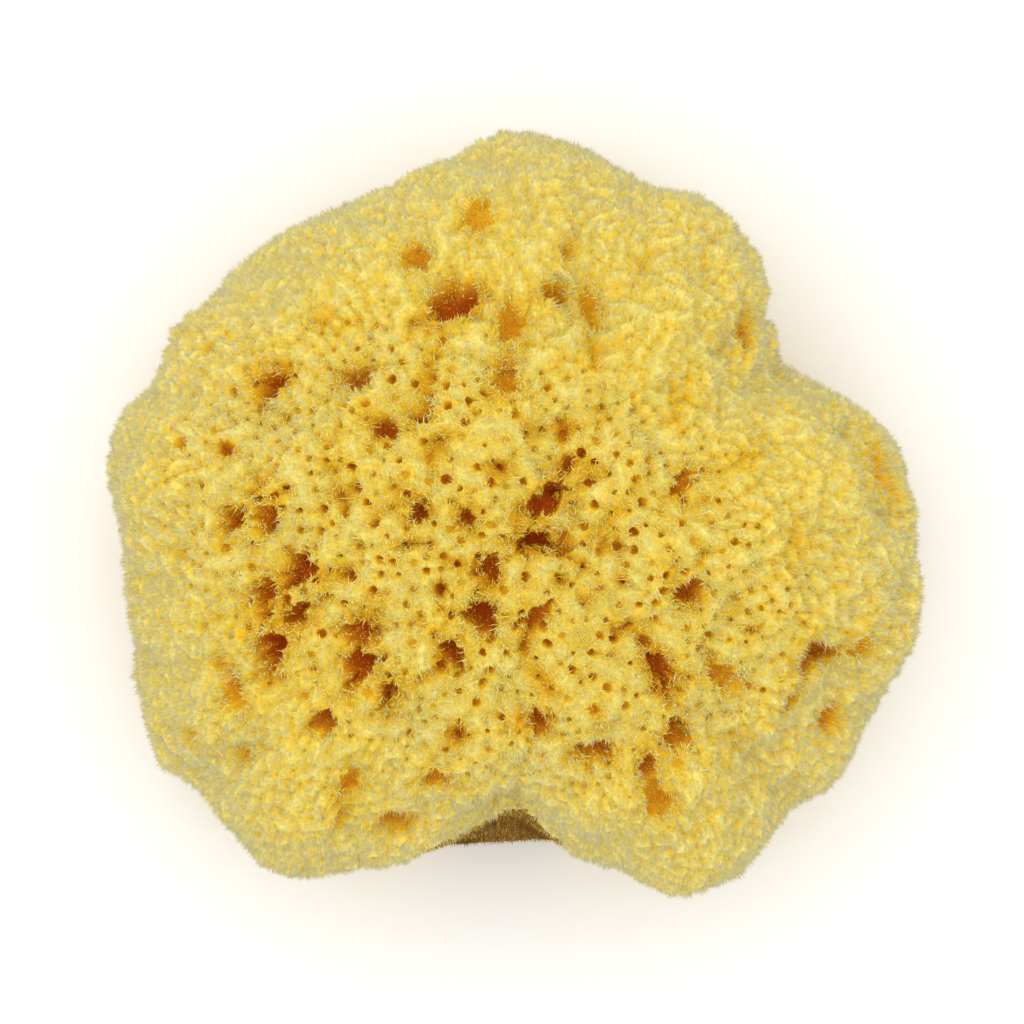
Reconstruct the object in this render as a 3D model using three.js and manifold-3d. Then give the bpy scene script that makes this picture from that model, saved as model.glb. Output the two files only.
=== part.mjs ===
// A honeycomb bath sponge: the dried and bleached skeleton of a sea sponge.
// It grew as one piece, so it is one solid: a lobed dome, cut off flat where it grew
// on the rock, with the mouths of its water canals sunk all over it.
// Millimetres, +Z up. The origin is the middle of the cut base, and the crown looks up.
// The skin is worked out round the heart, and the solid is lifted by it at the end.
import * as THREE from "three";
import { mergeVertices } from "three/addons/utils/BufferGeometryUtils.js";
import Module from "manifold-3d";

// Driving dimensions
const HEIGHT = 65; // from the cut base to the crown
const HEART = { x: -0.1, y: 0.7, z: 27 }; // the middle of the level where it is widest
const RISE = HEIGHT - HEART.z; // from the heart to the crown
const KEEL = 40; // how far down the round underside would reach if it weren't cut
const CROWN_FULLNESS = 2.5; // 2 is an ellipse, and more is a flatter crown
const KEEL_FULLNESS = 2.9;
const EYE_HEIGHT = 683; // how far above the heart the eye is that sees the crown's mouths
const SKIN_SPLITS = 14; // how often each edge of the starting icosahedron is split
const SKIN_TURN = 0.3; // radians about Z, so that no row of facets lies along the notch

// The widest outline, to the tips of its fibres, as points [x, y] round the heart.
const OUTLINE = [
  [0.5, 59.8], [10, 57.6], [20.5, 51.7], [31, 48.8], [37.3, 42.4], [40.8, 35.2],
  [39.2, 30.4], [41.4, 26.8], [44.5, 21], [54, 16], [61.3, 10.4], [63.6, 3.2],
  [62.8, -6.4], [64.2, -15.2], [62.6, -24.6], [57.3, -34.4], [51.7, -44.8],
  [45.3, -48.5], [41.3, -53.6], [35.7, -59.2], [26.9, -61.6], [17.3, -58.4],
  [7.7, -57.2], [0.5, -57.5], [-11.5, -57], [-24.3, -58.2], [-35.4, -59],
  [-43.2, -54], [-49.8, -46.2], [-56.3, -41.6], [-58.7, -34.4], [-60.2, -24.6],
  [-61, -15.2], [-63, -4], [-64.8, 5.6], [-62.8, 14.4], [-58.2, 18.6],
  [-53.8, 25], [-47.2, 33.6], [-34, 45.6], [-19.4, 50.6], [-6.6, 56.8],
];

// Valleys between the lobes, as runs seen from above: the two ends [x, y], then how
// deep, how wide, and the height above the heart from which each begins.
const VALLEY_FADE = 10; // a valley is at its full depth this much higher up
const VALLEYS = [
  { from: [47, 24], to: [26, 10], depth: 3, width: 5.5, above: 2 },
  { from: [12, 50], to: [14, 26], depth: 2, width: 4.5, above: 12 },
  { from: [45, -49], to: [33, -35], depth: 2, width: 5, above: 2 },
  { from: [-60, 19], to: [-43, 12], depth: 1.5, width: 5, above: 2 },
  { from: [-53, -46], to: [-38, -31], depth: 1.5, width: 6, above: 2 },
  { from: [56, 11], to: [60, -1], depth: 4.5, width: 3.6, above: 6 },
  { from: [54, -29], to: [45, -40], depth: 3.5, width: 3.8, above: 3 },
];

// The notch at the near edge, where two lobes part: a hollow below an overhanging lip.
// Its run is seen from above, and it fades in and out between these heights.
const NOTCH = {
  from: [-2, -62],
  to: [-2, -46],
  depth: 8.8,
  width: 9,
  foot: -20,
  full: -4,
  lip: 16,
  top: 27,
};

// Slow swells of the surface, each a wave along a direction: [x, y, z, height]. They
// die away towards the level of the heart, where the outline holds.
const SWELL_FADE = 12;
const SWELLS = [
  [0.13, 0.05, 0.08, 0.9], [-0.06, 0.15, -0.05, 0.9], [0.05, -0.11, 0.16, 0.8],
  [0.31, 0.12, -0.2, 0.6], [-0.14, 0.33, 0.11, 0.6], [0.22, -0.27, 0.17, 0.5],
  [-0.58, 0.21, 0.3, 0.35], [0.26, 0.61, -0.24, 0.35], [0.47, -0.38, -0.41, 0.3],
];

// Canal mouths on the crown, as seen from above: [x, y, length, breadth, turn, depth],
// with the turn in degrees from +X. They all run in towards one point below the heart.
const AIM = new THREE.Vector3(0, 0, -40);
const CROWN_MOUTHS = [
  [-38.9, 19.7, 4.8, 3.6, 70, 7], [-24.8, 20.8, 4, 3.2, 20, 3],
  [-9.8, 32.8, 8.4, 4.8, 15, 9], [-15.4, 40.2, 5.8, 4.4, 75, 3.5],
  [-5.4, 47.2, 6.8, 4.6, 75, 2.6], [-0.2, 29.4, 5.8, 4.2, 110, 4.2],
  [-1, 20.6, 5.8, 3.8, 100, 4.8], [6.9, 34.4, 4.4, 4, 0, 3.5],
  [12.4, 31.4, 8.6, 2.8, 96, 3.5], [-14.4, 14.9, 3.6, 3, 30, 4],
  [-20, 12.5, 3.9, 3.4, 0, 5], [-39.5, -2.1, 4.8, 3.2, 110, 6],
  [-45.1, -1.8, 4.4, 3.4, 100, 5], [-34.4, -10.1, 5.4, 4.2, 60, 8],
  [-39.9, -13.1, 4.4, 3.4, 20, 6], [-34.2, -16.8, 4.8, 2.6, 60, 6],
  [-38.9, -22.8, 6.4, 4.4, 70, 9], [-25, -20.4, 4.8, 3.4, 150, 7],
  [-24.6, -25.6, 4.6, 4, 60, 7], [-20.1, -30.4, 5.4, 3, 75, 6],
  [-30.4, -34.4, 4.8, 3.4, 10, 5], [5.8, 1.3, 7.4, 4.6, 35, 11],
  [4, -5.6, 6.8, 3.6, -5, 10], [-3.4, -9.4, 4.2, 3.4, 100, 8],
  [-15, -1, 3.7, 3, 90, 6], [-5, -17.6, 5.8, 4.4, 150, 8],
  [4, -17.6, 6, 3, 45, 6], [-9.3, -23.8, 5.6, 2.9, 110, 6],
  [24, -26.7, 7.2, 4, 110, 8], [28.5, -13.3, 5.2, 3, 35, 6],
  [27.5, 4, 4.8, 3, 45, 3.5], [49, -23.8, 7.4, 4.2, 5, 8],
  [56.6, -22.6, 5.2, 4.4, 30, 3], [33.9, -27.2, 5.6, 4.4, 120, 3.4],
  [26.6, -36.3, 5, 4.4, 45, 7], [22, -41.6, 3.6, 2.8, 90, 6],
  [23, -46.6, 7.2, 4.2, 110, 4.6], [45, -31.7, 4.6, 2.8, 75, 4],
  [4.3, -34.7, 5.4, 3, 100, 5], [13.8, -38.7, 5.4, 3.2, 20, 3.5],
  [-12.3, -43.7, 4.6, 4, 20, 3], [-25.9, -43.7, 5, 3.4, 80, 3],
  [-44.8, -30.2, 5.6, 3.4, -30, 3], [-42.6, -39.4, 4.2, 3.4, 10, 2.5], [-7.4, -1.7, 3.6, 2.8, 100, 5],
];

// Canal mouths round the flanks, spread by the golden angle between two heights above
// the base, each a stride up from the last, and canals sawn through in the cut base.
const FLANK_MOUTHS = { count: 18, low: 9, high: 25, size: 4.6, depth: 6, stride: 5 };
const BASE_MOUTHS = { count: 9, spread: 12.5, size: 5.6, depth: 9 };
const GOLDEN_ANGLE = Math.PI * (3 - Math.sqrt(5));
const SIZE_STEPS = 5; // the spread mouths run through this many sizes,
const SMALLEST = 0.75; // from this much of their size
const LARGEST = 1.25; // to this much
const NARROWING = 0.8; // their breadth over their length
const MOUTH_SIDES = 8;
const MOUTH_RINGS = 6;

const PALE_YELLOW = 0xe2cb6b;

// The outline as [angle, radius] pairs, in order of angle.
const OUTLINE_POLAR = OUTLINE.map(([x, y]) => [Math.atan2(y, x), Math.hypot(x, y)]).sort(
  (a, b) => a[0] - b[0],
);

// The outline's radius at an angle, by a smooth curve through its points.
function outlineRadius(angle) {
  const n = OUTLINE_POLAR.length;
  const turn = 2 * Math.PI;
  const at = (i) => {
    const laps = Math.floor(i / n);
    const [a, r] = OUTLINE_POLAR[i - laps * n];
    return [a + laps * turn, r];
  };
  let i = n - 1;
  while (i >= 0 && at(i)[0] > angle) i -= 1;
  const [p0, p1, p2, p3] = [at(i - 1), at(i), at(i + 1), at(i + 2)];
  const span = p2[0] - p1[0];
  const t = (angle - p1[0]) / span;
  const slopeIn = ((p2[1] - p0[1]) / (p2[0] - p0[0])) * span;
  const slopeOut = ((p3[1] - p1[1]) / (p3[0] - p1[0])) * span;
  const t2 = t * t;
  const t3 = t2 * t;
  return (
    p1[1] * (2 * t3 - 3 * t2 + 1) +
    slopeIn * (t3 - 2 * t2 + t) +
    p2[1] * (3 * t2 - 2 * t3) +
    slopeOut * (t3 - t2)
  );
}

function smoothstep(low, high, value) {
  const t = Math.min(1, Math.max(0, (value - low) / (high - low)));
  return t * t * (3 - 2 * t);
}

// How far a point is from the run between two points, seen from above.
function distanceToRun(x, y, [ax, ay], [bx, by]) {
  const [dx, dy] = [bx - ax, by - ay];
  const t = ((x - ax) * dx + (y - ay) * dy) / (dx * dx + dy * dy);
  const near = Math.min(1, Math.max(0, t));
  return Math.hypot(x - ax - near * dx, y - ay - near * dy);
}

// The skin in a direction from the heart, as a point with the heart at the origin.
function skinPoint(direction) {
  const d = direction.clone().normalize();
  const across = Math.hypot(d.x, d.y) / outlineRadius(Math.atan2(d.y, d.x));
  const up = d.z > 0;
  const fullness = up ? CROWN_FULLNESS : KEEL_FULLNESS;
  const rise = Math.abs(d.z) / (up ? RISE : KEEL);
  let radius = (across ** fullness + rise ** fullness) ** (-1 / fullness);
  const p = d.clone().multiplyScalar(radius);
  for (const { from, to, depth, width, above } of VALLEYS) {
    const aside = distanceToRun(p.x, p.y, from, to) / width;
    radius -= depth * Math.exp(-aside * aside) * smoothstep(above, above + VALLEY_FADE, p.z);
  }
  const aside = distanceToRun(p.x, p.y, NOTCH.from, NOTCH.to) / NOTCH.width;
  const hollow = smoothstep(NOTCH.foot, NOTCH.full, p.z) - smoothstep(NOTCH.lip, NOTCH.top, p.z);
  radius -= NOTCH.depth * Math.exp(-aside * aside) * hollow;
  const raised = smoothstep(0, SWELL_FADE, Math.abs(p.z));
  SWELLS.forEach(([x, y, z, height], i) => {
    radius += raised * height * Math.sin(p.x * x + p.y * y + p.z * z + i);
  });
  return d.multiplyScalar(radius);
}

// The skin point that covers a place [x, y] at the heart's level, seen from above. The
// eye is near, so what stands higher than the heart looks further out than it is. Each
// step starts from the height that the last one found.
function seenFromAbove(x, y) {
  const steps = 12;
  let point = new THREE.Vector3(x, y, RISE);
  for (let step = 0; step < steps; step += 1) {
    const shrink = (EYE_HEIGHT - point.z) / EYE_HEIGHT;
    point = skinPoint(new THREE.Vector3(x * shrink, y * shrink, Math.max(point.z, 1)));
  }
  return point;
}

// A three.js geometry as a solid. Only its places are kept, so that its faces join.
function solidOf(wasm, geometry) {
  const bare = new THREE.BufferGeometry().setAttribute(
    "position",
    geometry.getAttribute("position"),
  );
  if (geometry.index) bare.setIndex(geometry.index);
  const merged = mergeVertices(bare, 1e-4);
  return new wasm.Manifold(
    new wasm.Mesh({
      numProp: 3,
      vertProperties: new Float32Array(merged.getAttribute("position").array),
      triVerts: new Uint32Array(merged.index.array),
    }),
  );
}

// The whole lump, with the heart at the origin and its round underside still on it.
function lump() {
  const geometry = new THREE.IcosahedronGeometry(1, SKIN_SPLITS).rotateZ(SKIN_TURN);
  const places = geometry.getAttribute("position");
  const place = new THREE.Vector3();
  for (let i = 0; i < places.count; i += 1) {
    place.fromBufferAttribute(places, i);
    const skin = skinPoint(place);
    places.setXYZ(i, skin.x, skin.y, skin.z);
  }
  return geometry;
}

// An egg-shaped plug that is sunk by its depth from a point, along an axis into the body.
function mouthPlug(point, inward, length, breadth, turn, depth) {
  const along = new THREE.Vector3(Math.cos(turn), Math.sin(turn), 0);
  along.addScaledVector(inward, -along.dot(inward)).normalize();
  const beside = new THREE.Vector3().crossVectors(inward, along);
  const axes = new THREE.Matrix4().makeBasis(along, beside, inward).setPosition(point);
  return new THREE.SphereGeometry(1, MOUTH_SIDES, MOUTH_RINGS)
    .rotateX(Math.PI / 2)
    .scale(length / 2, breadth / 2, depth)
    .applyMatrix4(axes);
}

function crownPlugs() {
  return CROWN_MOUTHS.map(([x, y, length, breadth, turn, depth]) => {
    const point = seenFromAbove(x, y);
    const inward = AIM.clone().sub(point).normalize();
    return mouthPlug(point, inward, length, breadth, THREE.MathUtils.degToRad(turn), depth);
  });
}

// The length of one of the spread mouths, by its place in their order.
function spreadSize(size, i) {
  return size * (SMALLEST + ((LARGEST - SMALLEST) * (i % SIZE_STEPS)) / (SIZE_STEPS - 1));
}

function flankPlugs() {
  const { count, low, high, size, depth, stride } = FLANK_MOUTHS;
  return Array.from({ length: count }, (_, i) => {
    const angle = i * GOLDEN_ANGLE;
    const height = low + ((high - low) * ((i * stride) % count)) / count - HEART.z;
    const reach = outlineRadius(Math.atan2(Math.sin(angle), Math.cos(angle)));
    const point = skinPoint(
      new THREE.Vector3(reach * Math.cos(angle), reach * Math.sin(angle), height),
    );
    const inward = point.clone().normalize().negate();
    const length = spreadSize(size, i);
    return mouthPlug(point, inward, length, length * NARROWING, angle, depth);
  });
}

function basePlugs() {
  const { count, spread, size, depth } = BASE_MOUTHS;
  const up = new THREE.Vector3(0, 0, 1);
  return Array.from({ length: count }, (_, i) => {
    const angle = i * GOLDEN_ANGLE;
    const out = spread * Math.sqrt(i + 1);
    const point = new THREE.Vector3(out * Math.cos(angle), out * Math.sin(angle), -HEART.z);
    const length = spreadSize(size, i);
    return mouthPlug(point, up, length, length * NARROWING, angle, depth);
  });
}

// The slab below the cut, which takes the round underside off.
function rockSlab() {
  const side = 4 * RISE;
  return new THREE.BoxGeometry(side, side, side).translate(0, 0, -HEART.z - side / 2);
}

const wasm = await Module();
wasm.setup();

let body = solidOf(wasm, lump()).subtract(solidOf(wasm, rockSlab()));
for (const plug of [...crownPlugs(), ...flankPlugs(), ...basePlugs()]) {
  body = body.subtract(solidOf(wasm, plug));
}
const mesh = body.getMesh();
const geometry = new THREE.BufferGeometry()
  .setAttribute("position", new THREE.BufferAttribute(new Float32Array(mesh.vertProperties), 3))
  .setIndex(new THREE.BufferAttribute(new Uint32Array(mesh.triVerts), 1));
geometry.computeVertexNormals();

const sponge = new THREE.Mesh(
  geometry,
  new THREE.MeshStandardMaterial({ color: PALE_YELLOW, roughness: 0.95, metalness: 0 }),
);
sponge.name = "sponge";
sponge.position.copy(HEART);

const part = new THREE.Group();
part.add(sponge);

export default part;
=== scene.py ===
"""A honeycomb bath sponge, dressed for the studio.

Everything that shows is worked out here with numpy: the pored skin as one closed surface,
and the fibres that stand on it as bent, tapered spikes. Lengths are millimetres round the
heart, the middle of the level where the sponge is widest, until a mesh is made.
"""

import logging
import math
from dataclasses import dataclass, field
from enum import Enum

import bpy
import numpy as np
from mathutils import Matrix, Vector
from mathutils.geometry import delaunay_2d_cdt


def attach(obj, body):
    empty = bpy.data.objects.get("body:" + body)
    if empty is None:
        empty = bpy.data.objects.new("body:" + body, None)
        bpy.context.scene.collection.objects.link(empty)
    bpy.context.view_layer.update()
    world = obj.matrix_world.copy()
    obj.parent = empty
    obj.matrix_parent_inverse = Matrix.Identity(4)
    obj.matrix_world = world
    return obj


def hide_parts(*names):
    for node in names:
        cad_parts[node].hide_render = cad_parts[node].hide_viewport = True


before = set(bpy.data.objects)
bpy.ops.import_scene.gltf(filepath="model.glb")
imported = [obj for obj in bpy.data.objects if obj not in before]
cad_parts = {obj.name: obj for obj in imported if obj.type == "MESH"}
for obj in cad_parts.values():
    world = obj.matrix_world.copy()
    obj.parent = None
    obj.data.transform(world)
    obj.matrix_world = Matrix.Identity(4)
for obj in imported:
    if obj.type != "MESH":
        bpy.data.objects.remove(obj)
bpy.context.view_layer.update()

log = logging.getLogger("sponge")

MM = 0.001
GOLDEN_ANGLE = math.pi * (3 - math.sqrt(5))
Pair = tuple[float, float]
Triple = tuple[float, float, float]


def unit(vectors: np.ndarray) -> np.ndarray:
    """Vectors brought to a length of one."""
    return vectors / np.maximum(np.linalg.norm(vectors, axis=-1, keepdims=True), 1e-12)


def smoothstep(low: float, high: float, value: np.ndarray) -> np.ndarray:
    """A smooth step from 0 at low to 1 at high, as 3t^2 - 2t^3."""
    t = np.clip((value - low) / (high - low), 0.0, 1.0)
    return t * t * (3.0 - 2.0 * t)


def tangents(normals: np.ndarray) -> tuple[np.ndarray, np.ndarray]:
    """Two directions across each normal, square to it and to each other.

    Args:
        normals: unit vectors, one a row.

    Returns:
        The first directions and the second ones.
    """
    side = np.where(np.abs(normals[:, 2:3]) > 0.9, [[1.0, 0.0, 0.0]], [[0.0, 0.0, 1.0]])
    first = unit(np.cross(side, normals))
    return first, np.cross(normals, first)


def linear(red: int, green: int, blue: int) -> tuple[float, float, float, float]:
    """A colour from 0 to 255 as the eye sees it, as the linear light a shader takes."""
    seen = np.array([red, green, blue]) / 255.0
    light = np.where(seen <= 0.04045, seen / 12.92, ((seen + 0.055) / 1.055) ** 2.4)
    return (*light.tolist(), 1.0)


@dataclass
class Grain:
    """Smooth noise: random values on a lattice, blended between its points."""

    seed: int
    cells: int = 32
    values: np.ndarray = field(init=False)

    def __post_init__(self) -> None:
        """Draws the lattice."""
        rng = np.random.default_rng(self.seed)
        self.values = rng.uniform(-1.0, 1.0, (self.cells,) * 3)

    def at(self, points: np.ndarray, wavelength: float) -> np.ndarray:
        """The noise at points: the eight lattice values round each, blended smoothly.

        Args:
            points: places in millimetres.
            wavelength: the side of a lattice cell in millimetres.

        Returns:
            Values from -1 to 1, one for each point.
        """
        scaled = points / wavelength
        low = np.floor(scaled).astype(int)
        part = scaled - low
        blend = part * part * (3.0 - 2.0 * part)
        total = np.zeros(len(points))
        for corner in np.ndindex(2, 2, 2):
            step = np.array(corner)
            share = np.prod(np.where(step == 1, blend, 1.0 - blend), axis=1)
            cell = (low + step) % self.cells
            total += share * self.values[cell[:, 0], cell[:, 1], cell[:, 2]]
        return total

    def wave(self, points: np.ndarray, wave: Triple) -> np.ndarray:
        """The noise times a height, at a wavelength, for points moved by a shift.

        Args:
            points: places in millimetres.
            wave: the height, the wavelength and the shift.

        Returns:
            Heights, one for each point.
        """
        height, wavelength, shift = wave
        return height * self.at(points + shift, wavelength)


@dataclass(frozen=True)
class Valley:
    """A valley between two lobes: its run seen from above, and where it begins."""

    start: Pair
    end: Pair
    depth: float
    width: float
    above: float

    def sink(self, points: np.ndarray, fade: float) -> np.ndarray:
        """How far the valley sinks the surface: a bell across its run.

        Args:
            points: places on the lump.
            fade: how much higher than its beginning it is at its full depth.

        Returns:
            A depth for each point.
        """
        begun = smoothstep(self.above, self.above + fade, points[:, 2])
        return self.depth * self.bell(points) * begun

    def bell(self, points: np.ndarray) -> np.ndarray:
        """One on the valley's run, less to each side, as e to the minus square.

        Args:
            points: places on the lump.

        Returns:
            A share for each point.
        """
        run = np.subtract(self.end, self.start)
        away = points[:, :2] - np.array(self.start)
        along = np.clip(away @ run / (run @ run), 0.0, 1.0)
        aside = np.linalg.norm(away - along[:, None] * run, axis=1) / self.width
        return np.exp(-aside * aside)


@dataclass(frozen=True)
class Form:
    """The lump without its pores, round the heart.

    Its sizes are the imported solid's, but for the notch: its hem and lip lie up to 2 mm
    from the solid's, where the photograph shows them. A swell is a wave's pace along x,
    y and z, and its height.
    """

    height: float = 65.0
    heart: Triple = (-0.1, 0.7, 27.0)
    keel: float = 40.0
    crown_fullness: float = 2.5
    keel_fullness: float = 2.9
    eye_height: float = 683.0
    aim: Triple = (0.0, 0.0, -40.0)
    outline: tuple[Pair, ...] = (
        (0.5, 59.8), (10, 57.6), (20.5, 51.7), (31, 48.8), (37.3, 42.4), (40.8, 35.2),
        (39.2, 30.4), (41.4, 26.8), (44.5, 21), (54, 16), (61.3, 10.4), (63.6, 3.2),
        (62.8, -6.4), (64.2, -15.2), (62.6, -24.6), (57.3, -34.4), (51.7, -44.8),
        (45.3, -48.5), (41.3, -53.6), (35.7, -59.2), (26.9, -61.6), (17.3, -58.4),
        (7.7, -57.2), (0.5, -57.6), (-6, -58.4), (-11, -58), (-17, -56.7),
        (-24.3, -57.4), (-35.4, -59), (-43.2, -54), (-49.8, -46.2), (-56.3, -41.6),
        (-58.7, -34.4), (-60.2, -24.6), (-61, -15.2), (-63, -4), (-64.8, 5.6),
        (-62.8, 14.4), (-58.2, 18.6), (-53.8, 25), (-47.2, 33.6), (-34, 45.6),
        (-19.4, 50.6), (-6.6, 56.8),
    )
    valley_fade: float = 10.0
    valleys: tuple[Valley, ...] = (
        Valley((47, 24), (26, 10), 3, 5.5, 2),
        Valley((12, 50), (14, 26), 2, 4.5, 12),
        Valley((45, -49), (33, -35), 2, 5, 2),
        Valley((-60, 19), (-43, 12), 1.5, 5, 2),
        Valley((-53, -46), (-38, -31), 1.5, 6, 2),
        Valley((56, 11), (60, -1), 4.5, 3.6, 6),
        Valley((54, -29), (45, -40), 3.5, 3.8, 3),
    )
    notch: Valley = Valley((-2, -62), (-2, -46), 8.8, 9, -20)
    notch_full: float = -4.0
    notch_lip: float = 18.0
    notch_top: float = 28.0
    notch_fill: float = 0.9
    open_middle: Pair = (-5.0, -8.0)
    open_half: Pair = (50.0, 38.0)
    open_slant: float = 0.4
    open_edge: Pair = (0.55, 1.15)
    open_levels: Pair = (0.0, 14.0)
    base_skin: float = 0.05
    probe: float = 0.008
    eye_steps: int = 12
    swell_fade: float = 12.0
    swells: tuple[tuple[float, float, float, float], ...] = (
        (0.13, 0.05, 0.08, 0.9), (-0.06, 0.15, -0.05, 0.9), (0.05, -0.11, 0.16, 0.8),
        (0.31, 0.12, -0.2, 0.6), (-0.14, 0.33, 0.11, 0.6), (0.22, -0.27, 0.17, 0.5),
        (-0.58, 0.21, 0.3, 0.35), (0.26, 0.61, -0.24, 0.35), (0.47, -0.38, -0.41, 0.3),
    )

    @property
    def rise(self) -> float:
        """From the heart to the crown."""
        return self.height - self.heart[2]

    def outline_radius(self, angles: np.ndarray) -> np.ndarray:
        """The outline's radius at angles: a cubic through its points, in order of angle.

        Args:
            angles: from -pi to pi.

        Returns:
            Radii from the heart.
        """
        points = np.array(self.outline)
        known = np.arctan2(points[:, 1], points[:, 0])
        order = np.argsort(known)
        known = known[order]
        reach = np.hypot(points[:, 0], points[:, 1])[order]
        turn = 2.0 * math.pi
        known = np.concatenate([known[-2:] - turn, known, known[:3] + turn])
        reach = np.concatenate([reach[-2:], reach, reach[:3]])
        i = np.searchsorted(known, angles, side="right") - 1
        span = known[i + 1] - known[i]
        t = (angles - known[i]) / span
        slope_in = (reach[i + 1] - reach[i - 1]) / (known[i + 1] - known[i - 1]) * span
        slope_out = (reach[i + 2] - reach[i]) / (known[i + 2] - known[i]) * span
        t2, t3 = t * t, t * t * t
        return (
            reach[i] * (2 * t3 - 3 * t2 + 1)
            + slope_in * (t3 - 2 * t2 + t)
            + reach[i + 1] * (3 * t2 - 2 * t3)
            + slope_out * (t3 - t2)
        )

    def skin(self, directions: np.ndarray, inset: float = 0.0) -> np.ndarray:
        """The surface in directions from the heart.

        Across over the outline's radius and up over the rise, each to the power of the
        fullness, add up to one; the valleys sink that, the swells move it in and out,
        and the cut base stops it. The wall of the notch, which is painted dark as its
        shade, has hardly any inset, because its nap is short.

        Args:
            directions: unit vectors.
            inset: how far within the form the surface lies, apart from the base.

        Returns:
            Points, one for each direction.
        """
        dx, dy, dz = directions.T
        across = np.hypot(dx, dy) / self.outline_radius(np.arctan2(dy, dx))
        up = dz > 0
        fullness = np.where(up, self.crown_fullness, self.keel_fullness)
        rise = np.abs(dz) / np.where(up, self.rise, self.keel)
        radius = (across**fullness + rise**fullness) ** (-1.0 / fullness)
        points = directions * radius[:, None]
        for valley in self.valleys:
            radius = radius - valley.sink(points, self.valley_fade)
        radius = radius - self.notch.depth * self.notched(points)
        raised = smoothstep(0.0, self.swell_fade, np.abs(points[:, 2]))
        for i, (x, y, z, height) in enumerate(self.swells):
            radius = radius + raised * height * np.sin(points @ np.array([x, y, z]) + i)
        to_base = self.heart[2] / np.maximum(-dz, 1e-9)
        below = 1.0 - smoothstep(0.0, self.swell_fade, points[:, 2])
        inset = inset * (1.0 - self.notch_fill * self.notch.bell(points) * below)
        return directions * np.minimum(radius - inset, to_base)[:, None]

    def notched(self, points: np.ndarray) -> np.ndarray:
        """How far within the notch points lie, from 0 to 1: full from foot to lip.

        Args:
            points: places on the lump.

        Returns:
            A share for each point.
        """
        level = points[:, 2]
        foot = smoothstep(self.notch.above, self.notch_full, level)
        return self.notch.bell(points) * (
            foot - smoothstep(self.notch_lip, self.notch_top, level)
        )

    def normals(self, directions: np.ndarray, inset: float = 0.0) -> np.ndarray:
        """The way out of the surface: the cross of two short steps along it.

        Args:
            directions: unit vectors.
            inset: how far within the form the surface lies.

        Returns:
            Unit vectors, one for each direction.
        """
        first, second = tangents(directions)
        here = self.skin(directions, inset)
        one = self.skin(unit(directions + self.probe * first), inset) - here
        two = self.skin(unit(directions + self.probe * second), inset) - here
        return unit(np.cross(one, two))

    def seen_from_above(self, places: np.ndarray) -> np.ndarray:
        """The points that cover places at the heart's level for the near eye above.

        Args:
            places: x and y, one pair a row.

        Returns:
            Points on the surface. Each step starts from the height that the last found.
        """
        height = np.full(len(places), self.rise)
        for _ in range(self.eye_steps):
            shrink = (self.eye_height - height) / self.eye_height
            towards = np.column_stack([places * shrink[:, None], np.maximum(height, 1.0)])
            points = self.skin(unit(towards))
            height = points[:, 2]
        return points

    def openness(self, points: np.ndarray) -> np.ndarray:
        """How plainly the honeycomb lies open: 1 on the crown, 0 where tufts cover it.

        Seen from above it is a slanted oval with a wide soft edge, and it fades out
        towards the heart's level.

        Args:
            points: places on the skin.

        Returns:
            A share for each point.
        """
        up = points[:, 1] - self.open_middle[1]
        along = points[:, 0] - self.open_middle[0] + self.open_slant * up
        off = np.hypot(along / self.open_half[0], up / self.open_half[1])
        within = 1.0 - smoothstep(*self.open_edge, off)
        return within * smoothstep(*self.open_levels, points[:, 2])


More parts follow.
